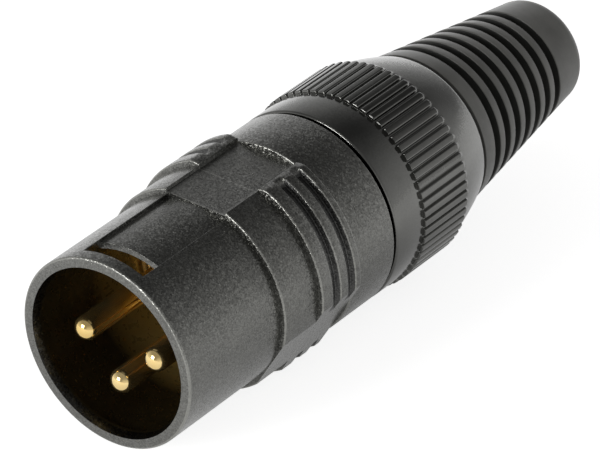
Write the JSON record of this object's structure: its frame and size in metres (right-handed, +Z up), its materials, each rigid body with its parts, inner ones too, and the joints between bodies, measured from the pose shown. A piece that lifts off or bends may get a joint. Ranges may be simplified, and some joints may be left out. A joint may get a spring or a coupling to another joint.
{
  "type": "xlr plug",
  "caption": "Round male audio cable plug with contact pins in a latched metal shell, a knurled screw cap and a ribbed rubber boot that grips and guards the cable.",
  "frame": {"origin": "under the middle of the plug, on the surface it lies on", "axes": "+Y along the plug from the mouth to the cable end, +Z up through the latch window, +X to the right seen from behind"},
  "size_m": [0.0214, 0.0666, 0.0204],
  "materials": {
    "black_metal": "satin black plating over fine blasted metal, with a slight sparkle",
    "black_plastic": "glossy black moulding",
    "clamp_plastic": "plain moulded black",
    "gold": "bright gold plating on turned brass",
    "rubber": "matt warm black rubber"
  },
  "bodies": {
    "housing": {"shell": "black_metal", "pin_insert": "black_plastic", "pin_1": "gold", "pin_2": "gold", "pin_3": "gold", "ground_ring": "gold"},
    "clamp": {"cable_clamp": "clamp_plastic"},
    "cap": {"cap": "black_metal", "boot": "rubber"}
  },
  "joints": [
    {"name": "clamp_travel", "type": "slide", "parent": "housing", "child": "clamp", "axis": [0, 1, 0], "range_m": [0, 0.006]},
    {"name": "cap_turn", "type": "hinge", "parent": "clamp", "child": "cap", "pos_m": [0, 0, 0.01021], "axis": [0, 1, 0], "range_deg": [0, 1440]}
  ],
  "couplings": [
    {"joint": "clamp_travel", "follows": "cap_turn", "m_per_rad": 0.00023873}
  ]
}
